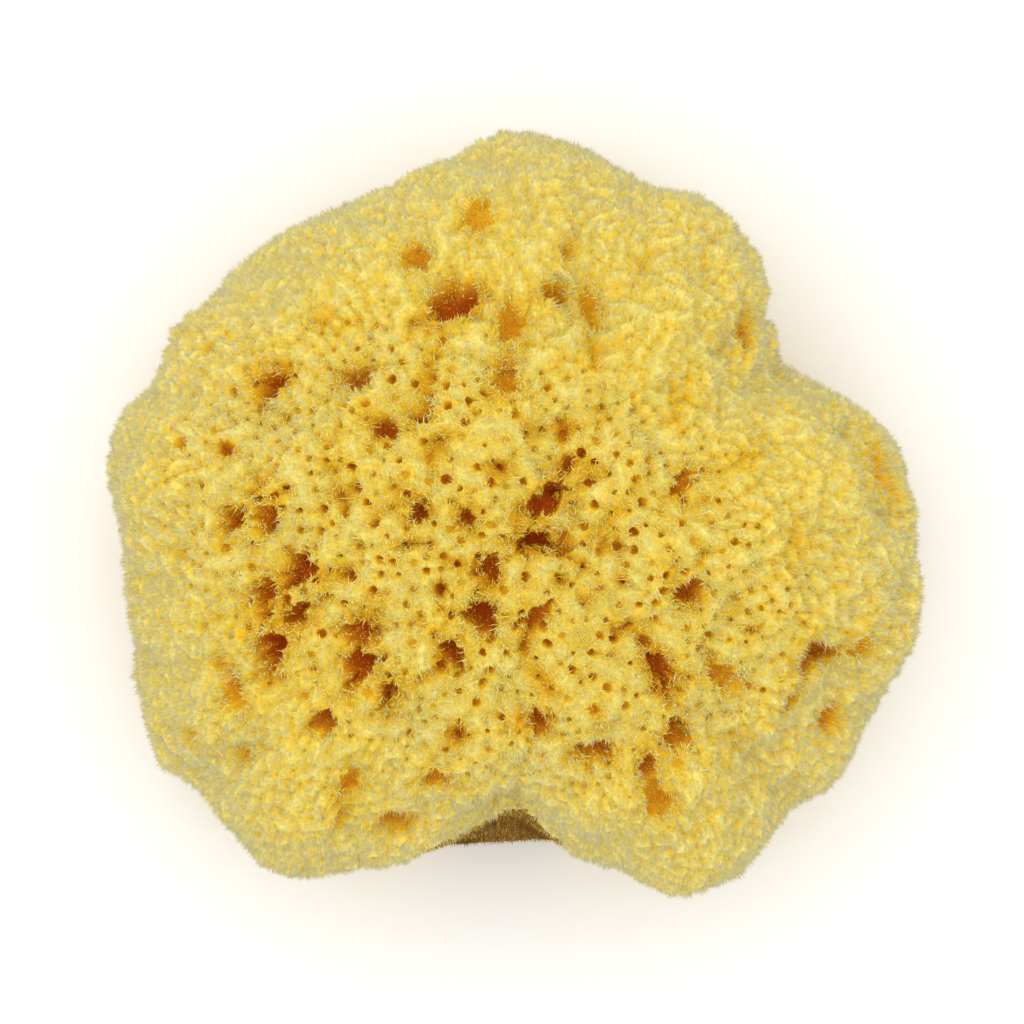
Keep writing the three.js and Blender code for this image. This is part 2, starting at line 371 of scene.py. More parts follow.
@dataclass
class Mouths:
    """The mouths of the water canals: ragged ovals that run in below the skin.

    Those of the crown are given as the near eye above sees them: x, y, length, breadth,
    the turn in degrees and the depth.
    """

    form: Form
    crown: tuple[tuple[float, ...], ...] = (
        (-38.9, 19.7, 4.8, 3.6, 70, 7), (-24.8, 20.8, 4, 3.2, 20, 3),
        (-9.8, 32.8, 8.4, 4.8, 15, 5.5), (-15.4, 40.2, 5.8, 4.4, 75, 2.3),
        (-5.4, 47.2, 6.8, 4.6, 75, 1.6), (-0.2, 29.4, 5.8, 4.2, 110, 1.8),
        (-1, 20.6, 5.8, 3.8, 100, 2.4), (6.9, 34.4, 4.4, 4, 0, 3.5),
        (12.4, 31.4, 8.6, 2.8, 96, 1.5), (-14.4, 14.9, 3.6, 3, 30, 4),
        (-20, 12.5, 3.9, 3.2, 0, 4), (-39.5, -2.1, 4.8, 3.2, 110, 6),
        (-45.1, -1.8, 4.4, 3.4, 100, 5), (-34.4, -10.1, 6, 4.8, 60, 9),
        (-39.9, -13.1, 4.4, 3.2, 20, 4.5), (-34.2, -16.8, 4.8, 2.4, 60, 4.5),
        (-38.9, -22.8, 6.4, 4.4, 70, 9), (-25, -20.4, 4.8, 3.4, 150, 5),
        (-24.6, -25.6, 5.2, 4.4, 60, 9), (-20.1, -30.4, 5.4, 3, 75, 6),
        (-30.4, -34.4, 4.8, 3.4, 10, 5), (5.8, 1.3, 7.6, 4.8, 35, 11),
        (4, -5.6, 6.8, 3.6, -5, 10), (-3.4, -9.4, 4.2, 2.8, 100, 5),
        (-15, -1, 3.7, 2.8, 90, 5), (-5, -17.6, 5.8, 4, 150, 7),
        (4, -17.6, 6, 3, 45, 4.5), (-9.3, -23.8, 5.6, 2.9, 110, 6),
        (24, -26.7, 7.2, 3.6, 110, 6.5), (28.5, -13.3, 5.2, 3, 35, 4.5),
        (27.5, 4, 4.8, 3, 45, 3.5), (49, -23.8, 7.4, 4.2, 5, 8),
        (56.6, -22.6, 5.2, 4.4, 30, 2.2), (33.9, -27.2, 5.6, 4.4, 120, 2.4),
        (26.6, -36.3, 5, 4.4, 45, 3.5), (22, -41.6, 3.6, 2.8, 90, 3.4),
        (23, -46.6, 7.2, 4.2, 110, 2), (45, -31.7, 4.6, 2.8, 75, 4),
        (4.3, -34.7, 5.4, 3, 100, 5), (13.8, -38.7, 5.4, 3.2, 20, 3.5),
        (-12.3, -43.7, 4.6, 4, 20, 3), (-25.9, -43.7, 5, 3.4, 80, 1.8),
        (-44.8, -30.2, 5.6, 3.4, -30, 1.8), (-42.6, -39.4, 4.2, 3.4, 10, 1.4),
        (-7.4, -1.7, 3.6, 2.8, 100, 4),
    )
    flank_count: int = 18
    flank_low: float = 9.0
    flank_high: float = 25.0
    flank_size: float = 4.6
    flank_depth: float = 6.0
    flank_stride: int = 5
    base_count: int = 9
    base_spread: float = 12.5
    base_size: float = 5.6
    base_depth: float = 9.0
    size_steps: int = 5
    smallest: float = 0.75
    largest: float = 1.25
    narrowing: float = 0.8
    reach: float = 1.02
    drift: Pair = (0.0, -0.45)
    level_reach: float = 4.0
    bowl: Pair = (4.0, 0.8)
    outer_rings: Triple = (1.12, 1.0, 0.93)
    inner_rings: Pair = (0.84, 0.2)
    fewest_around: int = 9
    stagger: float = 0.12
    lobes: tuple[tuple[int, float], ...] = (
        (2, 0.08), (3, 0.13), (5, 0.13), (8, 0.1), (13, 0.06),
    )
    seed: int = 5
    centre: np.ndarray = field(init=False)
    inward: np.ndarray = field(init=False)
    along: np.ndarray = field(init=False)
    beside: np.ndarray = field(init=False)
    half: np.ndarray = field(init=False)
    depth: np.ndarray = field(init=False)
    phase: np.ndarray = field(init=False)

    def __post_init__(self) -> None:
        """Places every mouth on the form, with its axis and its two half sizes."""
        seen = np.array(self.crown)
        steps = np.arange(max(self.flank_count, self.base_count))
        spread = self.smallest + (self.largest - self.smallest) * (
            steps % self.size_steps
        ) / (self.size_steps - 1)
        angles = steps * GOLDEN_ANGLE
        crown_points = self.form.seen_from_above(self.reach * seen[:, :2] + self.drift)
        flank_points = self._flank_points(steps[: self.flank_count])
        base_points = self._base_points(steps[: self.base_count])
        self.centre = np.concatenate([crown_points, flank_points, base_points])
        self.inward = np.concatenate(
            [
                unit(np.array(self.form.aim) - crown_points),
                unit(-flank_points),
                np.tile([0.0, 0.0, 1.0], (self.base_count, 1)),
            ]
        )
        length = np.concatenate(
            [
                seen[:, 2],
                self.flank_size * spread[: self.flank_count],
                self.base_size * spread[: self.base_count],
            ]
        )
        breadth = np.concatenate([seen[:, 3], self.narrowing * length[len(seen) :]])
        self.half = np.column_stack([length, breadth]) / 2.0
        turn = np.concatenate(
            [np.radians(seen[:, 4]), angles[: self.flank_count], angles[: self.base_count]]
        )
        flat = np.column_stack([np.cos(turn), np.sin(turn), np.zeros(len(turn))])
        lean = np.sum(flat * self.inward, axis=1, keepdims=True)
        self.along = unit(flat - lean * self.inward)
        self.beside = np.cross(self.inward, self.along)
        self.depth = np.concatenate(
            [
                seen[:, 5],
                np.full(self.flank_count, self.flank_depth),
                np.full(self.base_count, self.base_depth),
            ]
        )
        rng = np.random.default_rng(self.seed)
        self.phase = rng.uniform(0.0, 2 * math.pi, (len(self.depth), len(self.lobes)))

    def _flank_points(self, steps: np.ndarray) -> np.ndarray:
        """Points round the flanks, by the golden angle, each a stride up from the last.

        Args:
            steps: the mouths' numbers, from 0.

        Returns:
            Points on the form.
        """
        angles = steps * GOLDEN_ANGLE
        share = (steps * self.flank_stride) % self.flank_count / self.flank_count
        height = self.flank_low + (self.flank_high - self.flank_low) * share
        wrapped = np.arctan2(np.sin(angles), np.cos(angles))
        reach = self.form.outline_radius(wrapped)
        towards = np.column_stack(
            [reach * np.cos(angles), reach * np.sin(angles), height - self.form.heart[2]]
        )
        return self.form.skin(unit(towards))

    def _base_points(self, steps: np.ndarray) -> np.ndarray:
        """Points on the cut base, by the golden angle, further out by the root.

        Args:
            steps: the mouths' numbers, from 0.

        Returns:
            Points on the form.
        """
        angles = steps * GOLDEN_ANGLE
        out = self.base_spread * np.sqrt(steps + 1)
        level = np.full(len(steps), -self.form.heart[2])
        return np.column_stack([out * np.cos(angles), out * np.sin(angles), level])

    def ragged(self, angle: np.ndarray, which: np.ndarray) -> np.ndarray:
        """A rim's reach over its oval's at an angle: one and a few small waves.

        Args:
            angle: angles round the mouth.
            which: the mouth's number, for each.

        Returns:
            A share for each angle.
        """
        waves = np.ones_like(angle)
        for i, (count, size) in enumerate(self.lobes):
            waves = waves + size * np.sin(count * angle + self.phase[which, i])
        return waves

    def nearest(self, points: np.ndarray) -> tuple[np.ndarray, np.ndarray]:
        """How far out of the nearest mouth points lie.

        Args:
            points: places on the skin.

        Returns:
            The distance from the mouth's middle over its rim's, 1 on the rim, and the
            mouth's number.
        """
        best = np.full(len(points), np.inf)
        which = np.zeros(len(points), dtype=int)
        for i, centre in enumerate(self.centre):
            away = points - centre
            a = away @ self.along[i] / self.half[i, 0]
            b = away @ self.beside[i] / self.half[i, 1]
            level = np.abs(away @ self.inward[i]) < self.level_reach + self.half[i, 0]
            out = np.hypot(a, b) / self.ragged(np.arctan2(b, a), np.full(len(a), i))
            out = np.where(level, out, np.inf)
            closer = out < best
            best = np.where(closer, out, best)
            which = np.where(closer, i, which)
        return best, which

    def fall(self, out: np.ndarray) -> np.ndarray:
        """A mouth's depth over its full depth: steep at the rim, and a bowl below.

        It is one minus the distance to one power, and all of that to another.
        """
        inner, outer = self.bowl
        return np.maximum(1.0 - np.minimum(out, 1.0) ** inner, 0.0) ** outer

    def rings(self, step: float, rng: np.random.Generator) -> np.ndarray:
        """Points in rings from just outside each rim to the middle.

        Args:
            step: about how far apart the points stand.
            rng: the random source.

        Returns:
            Points near the skin.
        """
        outs = []
        for i, (length, breadth) in enumerate(self.half):
            around = int(2 * math.pi * math.sqrt(length * breadth) / step)
            around = max(around, self.fewest_around)
            inner = np.arange(*self.inner_rings, -step / breadth)
            shares = np.concatenate([self.outer_rings, inner])
            theta = np.arange(around) * 2 * math.pi / around
            share, angle = np.meshgrid(shares, theta, indexing="ij")
            moved = rng.normal(0.0, self.stagger, share.shape)
            angle = angle + moved * 2 * math.pi / around
            share = share * self.ragged(angle, np.full(share.shape, i))
            a = (length * share * np.cos(angle)).ravel()
            b = (breadth * share * np.sin(angle)).ravel()
            spots = self.centre[i] + np.outer(a, self.along[i]) + np.outer(b, self.beside[i])
            outs.append(np.vstack([spots, self.centre[i]]))
        return np.concatenate(outs)


@dataclass
class Dimples:
    """Soft hollows in the crown, where the fuzz is thin and the skin is painted a golden
    shade.

    The spots are given as the mouths are: x, y, length, breadth, turn and depth.
    """

    form: Form
    spots: tuple[tuple[float, ...], ...] = (
        (9.4, 40.8, 3.2, 2.8, 45, 3), (-26.7, 0.2, 2.6, 2, 60, 3),
        (-40.2, -17.6, 2.6, 2.2, 0, 4), (-27, -10.9, 3.8, 2.2, 45, 4),
        (8.8, -6.6, 2.8, 2, 100, 5), (8, -12.2, 2.6, 2, 60, 3.5),
        (14.9, -6.2, 2.6, 2.2, 45, 3),
        (-1.9, 5.6, 5.4, 3.6, 10, 3), (8.3, 6.6, 4.2, 2.6, 30, 3),
        (8.3, 12, 4.2, 3.4, 60, 3), (-12, 9.3, 5, 3.2, 40, 3),
        (-16.5, -6.6, 2.4, 2, 45, 3.5), (-11.4, -13.6, 3.6, 2.4, 60, 3),
        (17.4, -19.8, 3.8, 2.8, 20, 3.5), (38.6, -20.2, 2.4, 2, 0, 3),
        (31, -7.2, 2.8, 2, 60, 3), (52, -35, 5.2, 4, 60, 4),
        (-9, -37.3, 4, 3.2, 60, 3.5), (-18.9, -51.4, 6, 3.8, 10, 3.5),
        (-27, -50, 6.4, 2.2, 60, 3), (-53.4, -37.6, 5, 3.2, -30, 3),
        (-53.4, -7.5, 2.6, 2.4, 0, 2.5), (-13.4, 20.8, 15, 3.4, 74, 1.8),
        (13, 24.8, 9, 3, 101, 1.6),
        (-30.7, 29.6, 5, 4, 0, 1.2), (-26.7, 2.4, 7, 3.5, 20, 1.8),
        (-41, 4, 5, 3.5, 120, 1.8), (14.1, -4, 7, 2.4, 50, 2.2),
        (38, 8, 9, 4, 40, 1.2), (46, -5.6, 8, 5, 90, 1), (37.3, 28, 7, 3, 100, 2.4),
        (-46, -26.4, 8, 3, -55, 1.6), (-26.7, -47.2, 8, 3.4, 70, 1.6),
        (20.5, 37.6, 5, 2.5, 60, 1.2), (26.9, 16.8, 8, 3.5, 75, 1.2),
        (12.5, -15, 5, 3, 110, 1.2), (61.2, 6.2, 11, 4.4, -70, 2.4),
    )
    sharpness: float = 1.3
    tallest: float = 6.0
    centre: np.ndarray = field(init=False)

    def __post_init__(self) -> None:
        """Finds each dimple's middle on the form."""
        self.centre = self.form.seen_from_above(np.array(self.spots)[:, :2])

    def sink(self, points: np.ndarray) -> np.ndarray:
        """How far the dimples sink points: bells over ovals in plan, at their own level.

        Args:
            points: places on the skin.

        Returns:
            The deepest that any dimple sinks each.
        """
        total = np.zeros(len(points))
        for centre, spot in zip(self.centre, self.spots):
            _, _, length, breadth, turn, depth = spot
            angle = math.radians(turn)
            across, up = points[:, 0] - centre[0], points[:, 1] - centre[1]
            a = (across * math.cos(angle) + up * math.sin(angle)) / (length / 2)
            b = (up * math.cos(angle) - across * math.sin(angle)) / (breadth / 2)
            level = (points[:, 2] - centre[2]) / self.tallest
            bell = depth * np.exp(-self.sharpness * (a * a + b * b) - level * level)
            total = np.maximum(total, np.where(points[:, 2] > 0, bell, 0.0))
        return total


def triangulate(directions: np.ndarray) -> np.ndarray:
    """Triangles over a set of directions, open only at the pole straight down.

    Seen from the downward pole, every direction falls on a flat plane, and circles stay
    circles, so the flat Delaunay triangles are those of the sphere.

    Args:
        directions: unit vectors, none of them straight down.

    Returns:
        Rows of three indices, facing outwards.
    """
    flat = directions[:, :2] / (1.0 + directions[:, 2:3])
    _, _, faces, from_points, _, _ = delaunay_2d_cdt(flat.tolist(), [], [], 0, 1e-10)
    first = np.array([sources[0] for sources in from_points])
    return first[np.array(faces)]


def scatter(form: Form, count: int, inset: float, rng: np.random.Generator) -> np.ndarray:
    """Directions spread evenly by the area of skin that they reach.

    A random direction is kept with a chance of its patch's area, the radius squared over
    the cosine between the direction and the way out. The steepest slopes and the few
    largest patches are held down.

    Args:
        form: the lump.
        count: how many are drawn before any is left out.
        inset: how far within the form the skin lies.
        rng: the random source.

    Returns:
        Unit vectors.
    """
    steepest, common = 0.25, 0.995
    directions = unit(rng.normal(size=(count, 3)))
    points = form.skin(directions, inset)
    facing = np.sum(form.normals(directions, inset) * directions, axis=1)
    area = np.sum(points**2, axis=1) / np.maximum(facing, steepest)
    return directions[rng.random(count) < area / np.quantile(area, common)]


def thin_out(points: np.ndarray, gaps: np.ndarray, rng: np.random.Generator) -> np.ndarray:
    """The points left when none stands nearer to another than their mean gap.

    Every point has a random rank. In each round the points that outrank all of their
    neighbours stay, and their neighbours go, until all are settled.

    Args:
        points: places.
        gaps: the gap that each point wants.
        rng: the random source.

    Returns:
        A mask of the points that stay.
    """
    batch = 1000
    rank = rng.permutation(len(points))
    squares = np.sum(points**2, axis=1)
    lows, highs = [], []
    for start in range(0, len(points), batch):
        block = slice(start, start + batch)
        apart = squares[block, None] + squares[None, :] - 2 * points[block] @ points.T
        limit = ((gaps[block, None] + gaps[None, :]) / 2) ** 2
        one, two = np.nonzero(apart < limit)
        keep = one + start < two
        lows.append(one[keep] + start)
        highs.append(two[keep])
    low, high = np.concatenate(lows), np.concatenate(highs)
    stays = np.zeros(len(points), dtype=bool)
    open_ = np.ones(len(points), dtype=bool)
    while open_.any():
        live = open_[low] & open_[high]
        low, high = low[live], high[live]
        best = np.full(len(points), len(points))
        np.minimum.at(best, low, rank[high])
        np.minimum.at(best, high, rank[low])
        winners = open_ & (rank < best)
        stays |= winners
        open_ &= ~winners
        open_[high[winners[low]]] = False
        open_[low[winners[high]]] = False
    return stays


@dataclass
class Pores:
    """The small round pores that pepper the skin, and the peaks that stand between."""

    form: Form
    mouths: Mouths
    inset: float
    draws: int = 70000
    crown_gap: float = 2.2
    tuft_gap: float = 1.7
    base_gap: float = 3.1
    crown_radius: Pair = (0.46, 0.92)
    tuft_radius: Pair = (0.3, 0.46)
    wide_share: float = 0.09
    wide_tuft_share: float = 0.35
    wide_radius: Pair = (0.85, 1.3)
    wide_gap: float = 1.5
    mouth_clear: float = 1.2
    pole_clear: float = 6.0
    peak_gap: float = 1.0
    peak_rooms: Pair = (0.9, 4.0)
    peak_clear: float = 1.25
    peak_lowest: float = 1.2
    wobble: float = 0.1
    seed: int = 11
    directions: np.ndarray = field(init=False)
    points: np.ndarray = field(init=False)
    radius: np.ndarray = field(init=False)
    openness: np.ndarray = field(init=False)
    peaks: np.ndarray = field(init=False)
    peak_room: np.ndarray = field(init=False)

    def __post_init__(self) -> None:
        """Scatters the pores, and finds the peaks midway between each three."""
        rng = np.random.default_rng(self.seed)
        directions = scatter(self.form, self.draws, self.inset, rng)
        points = self.form.skin(directions, self.inset)
        openness = self.form.openness(points)
        on_base = points[:, 2] < -self.form.heart[2] + self.form.base_skin
        draw = rng.random(len(points))
        low = self.tuft_radius[0] + (self.crown_radius[0] - self.tuft_radius[0]) * openness
        high = self.tuft_radius[1] + (self.crown_radius[1] - self.tuft_radius[1]) * openness
        radius = low + (high - low) * draw
        wide_chance = self.wide_tuft_share + (1.0 - self.wide_tuft_share) * openness
        wide = rng.random(len(points)) < self.wide_share * wide_chance
        wide_draw = self.wide_radius[0] + (self.wide_radius[1] - self.wide_radius[0]) * draw
        radius = np.where(wide, wide_draw, radius)
        gap = self.tuft_gap + (self.crown_gap - self.tuft_gap) * openness
        gap = np.where(on_base, self.base_gap, gap) + np.where(wide, self.wide_gap, 0.0)
        out, _ = self.mouths.nearest(points)
        off_pole = np.hypot(points[:, 0], points[:, 1]) > self.pole_clear
        clear = (out > self.mouth_clear) & (off_pole | (points[:, 2] > 0))
        directions, points, radius = directions[clear], points[clear], radius[clear]
        gap, openness = gap[clear], openness[clear]
        stays = thin_out(points, gap, rng)
        self.directions, self.points = directions[stays], points[stays]
        self.radius, self.openness = radius[stays], openness[stays]
        self._find_peaks(rng)

    def _find_peaks(self, rng: np.random.Generator) -> None:
        """Finds the middle of the circle through each three neighbouring pores.

        Args:
            rng: the random source, for which peaks stay where they are crowded.
        """
        a, b, c = (self.directions[column] for column in triangulate(self.directions).T)
        middle = unit(np.cross(b - a, c - a))
        middle = middle * np.sign(np.sum(middle * a, axis=1, keepdims=True))
        points = self.form.skin(middle, self.inset)
        room = np.linalg.norm(points - self.form.skin(a, self.inset), axis=1)
        out, _ = self.mouths.nearest(points)
        least, most = self.peak_rooms
        good = (room > least) & (room < most) & (out > self.peak_clear)
        good &= points[:, 2] > self.peak_lowest - self.form.heart[2]
        middle, points, room = middle[good], points[good], room[good]
        stays = thin_out(points, np.full(len(points), self.peak_gap), rng)
        self.peaks, self.peak_room = middle[stays], room[stays]

    def ring(self, chosen: np.ndarray, share: float, count: int, ragged: float,
             rng: np.random.Generator) -> np.ndarray:
        """A ring of points round each chosen pore.

        Args:
            chosen: a mask of the pores.
            share: the ring's radius over the pore's.
            count: how many points it has.
            ragged: how far each may stray, as a share of the radius.
            rng: the random source.

        Returns:
            Directions, pore by pore.
        """
        points, radius = self.points[chosen], self.radius[chosen] * share
        normals = self.form.normals(self.directions[chosen], self.inset)
        first, second = tangents(normals)
        angle = np.arange(count) * 2 * math.pi / count
        angle = angle + rng.uniform(0, 2 * math.pi, (len(points), 1))
        angle = angle + rng.normal(0, self.wobble, angle.shape)
        reach = radius[:, None] * (1 + ragged * rng.uniform(-1, 1, angle.shape))
        spots = (
            points[:, None]
            + (reach * np.cos(angle))[..., None] * first[:, None]
            + (reach * np.sin(angle))[..., None] * second[:, None]
        )
        return unit(spots.reshape(-1, 3))


def mesh_object(
    name: str,
    points: np.ndarray,
    faces: np.ndarray,
    slots: np.ndarray | None = None,
    facing: np.ndarray | None = None,
) -> bpy.types.Object:
    """A mesh object made of triangles, from millimetres round the heart.

    Args:
        name: the piece's name.
        points: its corners.
        faces: rows of three indices, facing outwards.
        slots: the material slot of each face.
        facing: the way that each corner is lit from, where it isn't its faces' own.

    Returns:
        The object, at the origin of the frame.
    """
    mesh = bpy.data.meshes.new(name)
    places = (points + np.array(Form.heart)) * MM
    mesh.vertices.add(len(places))
    mesh.vertices.foreach_set("co", places.astype(np.float32).ravel())
    mesh.loops.add(faces.size)
    mesh.loops.foreach_set("vertex_index", faces.astype(np.int32).ravel())
    mesh.polygons.add(len(faces))
    mesh.polygons.foreach_set("loop_start", np.arange(0, faces.size, 3, dtype=np.int32))
    if slots is not None:
        mesh.polygons.foreach_set("material_index", slots.astype(np.int32))
    mesh.update(calc_edges=True)
    mesh.shade_smooth()
    if facing is not None:
        mesh.normals_split_custom_set_from_vertices(facing.tolist())
    piece = bpy.data.objects.new(name, mesh)
    bpy.context.scene.collection.objects.link(piece)
    return piece


@dataclass(frozen=True)
class PlainFinish:
    """One plain matt tint, as of a dry fibre or of the floor."""

    name: str
    tint: tuple[int, int, int]
    roughness: float = 0.85
    gloss: float = 0.25

    def material(self) -> bpy.types.Material:
        """The tint as a material, with nothing but set values."""
        made = bpy.data.materials.new(self.name)
        made.use_nodes = True
        shader = made.node_tree.nodes["Principled BSDF"]
        shader.inputs["Base Color"].default_value = linear(*self.tint)
        shader.inputs["Roughness"].default_value = self.roughness
        shader.inputs["Specular IOR Level"].default_value = self.gloss
        return made


class Tint(Enum):
    """The fibres' tints: five from pale to golden for painted light and shade, two for the
    notch's shade.
    """

    # The palest, greyish tint paints rim light on fibres low on the shoulders.
    MIST = PlainFinish("fibre_rim_light", (226, 217, 170))
    OAT = PlainFinish("fibre_oat", (241, 230, 152))
    CREAM = PlainFinish("fibre_cream", (254, 240, 150))
    STRAW = PlainFinish("fibre_straw", (248, 220, 80))
    HONEY = PlainFinish("fibre_honey", (234, 188, 34))
    # Umber and bark paint the shade on the notch's wall.
    UMBER = PlainFinish("fibre_notch_half_shade", (214, 172, 56))
    BARK = PlainFinish("fibre_notch_shade", (116, 78, 8))


@dataclass(frozen=True)
class SkinFinish:
    """The skin between the fibres: pale at the peaks, and browner the deeper it lies, as
    painted light on the peaks and painted shade down the pits, mouths and hollows.

    Each stop is a depth in millimetres and the tint there. The scales of the noises
    are cells to the metre, and the heights and the glow's reach are metres.
    """

    name: str = "sponge_skin"
    roughness: float = 0.9
    gloss: float = 0.15
    stops: tuple[tuple[float, tuple[int, int, int]], ...] = (
        (-1.0, (250, 232, 136)),
        (-0.3, (243, 214, 90)),
        (0.4, (235, 192, 44)),
        (1.2, (224, 166, 26)),
        (2.4, (204, 132, 18)),
        (4.5, (194, 98, 10)),
        (7.0, (182, 80, 10)),
    )
    glow: float = 0.6
    glow_reach: Triple = (1.0, 0.6, 0.15)
    glow_scale: float = 0.0012
    fleck: float = 2.4
    fleck_scale: float = 1700.0
    fleck_detail: float = 3.0
    grain_scale: float = 2600.0
    grain_detail: float = 2.0
    grain_height: float = 0.0002

    def material(self) -> bpy.types.Material:
        """A ramp over the stored depth, moved by flecks, with a felted grain on top."""
        made = bpy.data.materials.new(self.name)
        made.use_nodes = True
        nodes, links = made.node_tree.nodes, made.node_tree.links
        shader = nodes["Principled BSDF"]
        shader.inputs["Roughness"].default_value = self.roughness
        shader.inputs["Specular IOR Level"].default_value = self.gloss
        shader.inputs["Subsurface Weight"].default_value = self.glow
        shader.inputs["Subsurface Radius"].default_value = self.glow_reach
        shader.inputs["Subsurface Scale"].default_value = self.glow_scale
        low, high = self.stops[0][0], self.stops[-1][0]
        depth = nodes.new("ShaderNodeAttribute")
        depth.attribute_name = "depth"
        share = nodes.new("ShaderNodeMapRange")
        share.inputs["From Min"].default_value = low
        share.inputs["From Max"].default_value = high
        spots = nodes.new("ShaderNodeTexCoord")
        flecks = nodes.new("ShaderNodeTexNoise")
        flecks.inputs["Scale"].default_value = self.fleck_scale
        flecks.inputs["Detail"].default_value = self.fleck_detail
        flecked = nodes.new("ShaderNodeMath")
        flecked.operation = "MULTIPLY_ADD"
        flecked.inputs[1].default_value = self.fleck
        centred = nodes.new("ShaderNodeMath")
        centred.operation = "SUBTRACT"
        centred.inputs[1].default_value = 0.5 * self.fleck
        links.new(spots.outputs["Object"], flecks.inputs["Vector"])
        links.new(flecks.outputs["Fac"], flecked.inputs[0])
        links.new(depth.outputs["Fac"], flecked.inputs[2])
        links.new(flecked.outputs["Value"], centred.inputs[0])
        links.new(centred.outputs["Value"], share.inputs["Value"])
        # The ramp paints light and shade by depth: pale on the peaks, browner down the pits.
        ramp = nodes.new("ShaderNodeValToRGB")
        marks = ramp.color_ramp.elements
        for i, (level, colour) in enumerate(self.stops):
            place = (level - low) / (high - low)
            mark = marks[i] if i < len(marks) else marks.new(place)
            mark.position = place
            mark.color = linear(*colour)
        links.new(share.outputs["Result"], ramp.inputs["Fac"])
        links.new(ramp.outputs["Color"], shader.inputs["Base Color"])
        grain = nodes.new("ShaderNodeTexNoise")
        grain.inputs["Scale"].default_value = self.grain_scale
        grain.inputs["Detail"].default_value = self.grain_detail
        bump = nodes.new("ShaderNodeBump")
        bump.inputs["Distance"].default_value = self.grain_height
        links.new(spots.outputs["Object"], grain.inputs["Vector"])
        links.new(grain.outputs["Fac"], bump.inputs["Height"])
        links.new(bump.outputs["Normal"], shader.inputs["Normal"])
        return made


